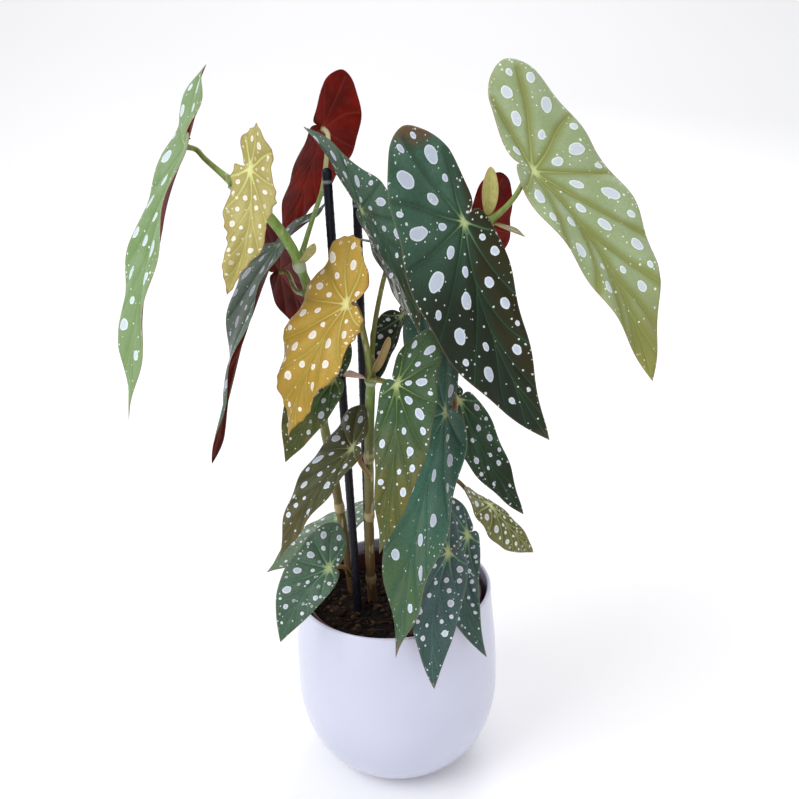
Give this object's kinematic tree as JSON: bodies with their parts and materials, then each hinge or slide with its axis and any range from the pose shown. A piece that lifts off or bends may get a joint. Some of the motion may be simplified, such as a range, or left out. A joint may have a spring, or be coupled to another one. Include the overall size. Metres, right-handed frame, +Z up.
{
  "type": "potted polka dot begonia",
  "caption": "Upright cane begonia with long wing-shaped leaves covered in white spots, held by stakes in a nursery pot inside a rounded white ceramic cover pot.",
  "frame": {"origin": "centre of the cover pot's flat foot, on the surface it stands on", "axes": "+Z up along the pot's axis, +X to the right and -Y towards the viewer of the picture"},
  "size_m": [0.3195, 0.2171, 0.4888],
  "materials": {
    "glaze": "white satin glaze, faintly lavender",
    "nursery_plastic": "dark red-brown",
    "soil": "rough, nearly black",
    "stake_coating": "black, faintly ribbed",
    "cane": "olive green, brown at the base, paler at the nodes",
    "stipule": "papery, pale green to pink",
    "leaf_dark": "dark green, fading to brown at the edge, white oval spots, satin",
    "leaf_green": "mid green, white oval spots, satin",
    "leaf_teal": "blue green, white oval spots, satin",
    "leaf_light": "pale sage green, white oval spots, satin",
    "leaf_olive": "light olive green, white oval spots, satin",
    "leaf_gold": "young ochre yellow, white oval spots, satin",
    "leaf_brown": "brownish olive, white oval spots, satin",
    "leaf_red": "wine red, satin, seen from below"
  },
  "bodies": {
    "root": {"cover_pot": "glaze", "nursery_pot": "nursery_plastic", "soil": "soil", "stake_main": "stake_coating", "stake_second": "stake_coating", "cane_left": "cane", "cane_centre": "cane", "cane_right": "cane", "stipule_centre_up": "stipule", "stipule_centre_left": "stipule", "stipule_right_up": "stipule", "stipule_right_side": "stipule", "stipule_left": "stipule", "leaf_far_left": "leaf_light", "leaf_left_small": "leaf_gold", "leaf_left_edge": "leaf_teal", "leaf_left_under": "leaf_red", "leaf_back_top": "leaf_red", "leaf_front_gold": "leaf_gold", "leaf_top_long": "leaf_dark", "leaf_right_large": "leaf_dark", "leaf_front_green": "leaf_green", "leaf_right_top": "leaf_olive", "leaf_front_long": "leaf_teal", "leaf_right_middle": "leaf_dark", "leaf_right_low": "leaf_olive", "leaf_over_rim": "leaf_teal", "leaf_left_brown": "leaf_brown", "leaf_behind_gold": "leaf_green", "leaf_soil_left": "leaf_teal", "leaf_rim_left": "leaf_teal", "leaf_rim_right": "leaf_teal", "leaf_back_small": "leaf_teal", "leaf_centre_dark": "leaf_dark", "leaf_back_red": "leaf_red"}
  },
  "joints": []
}
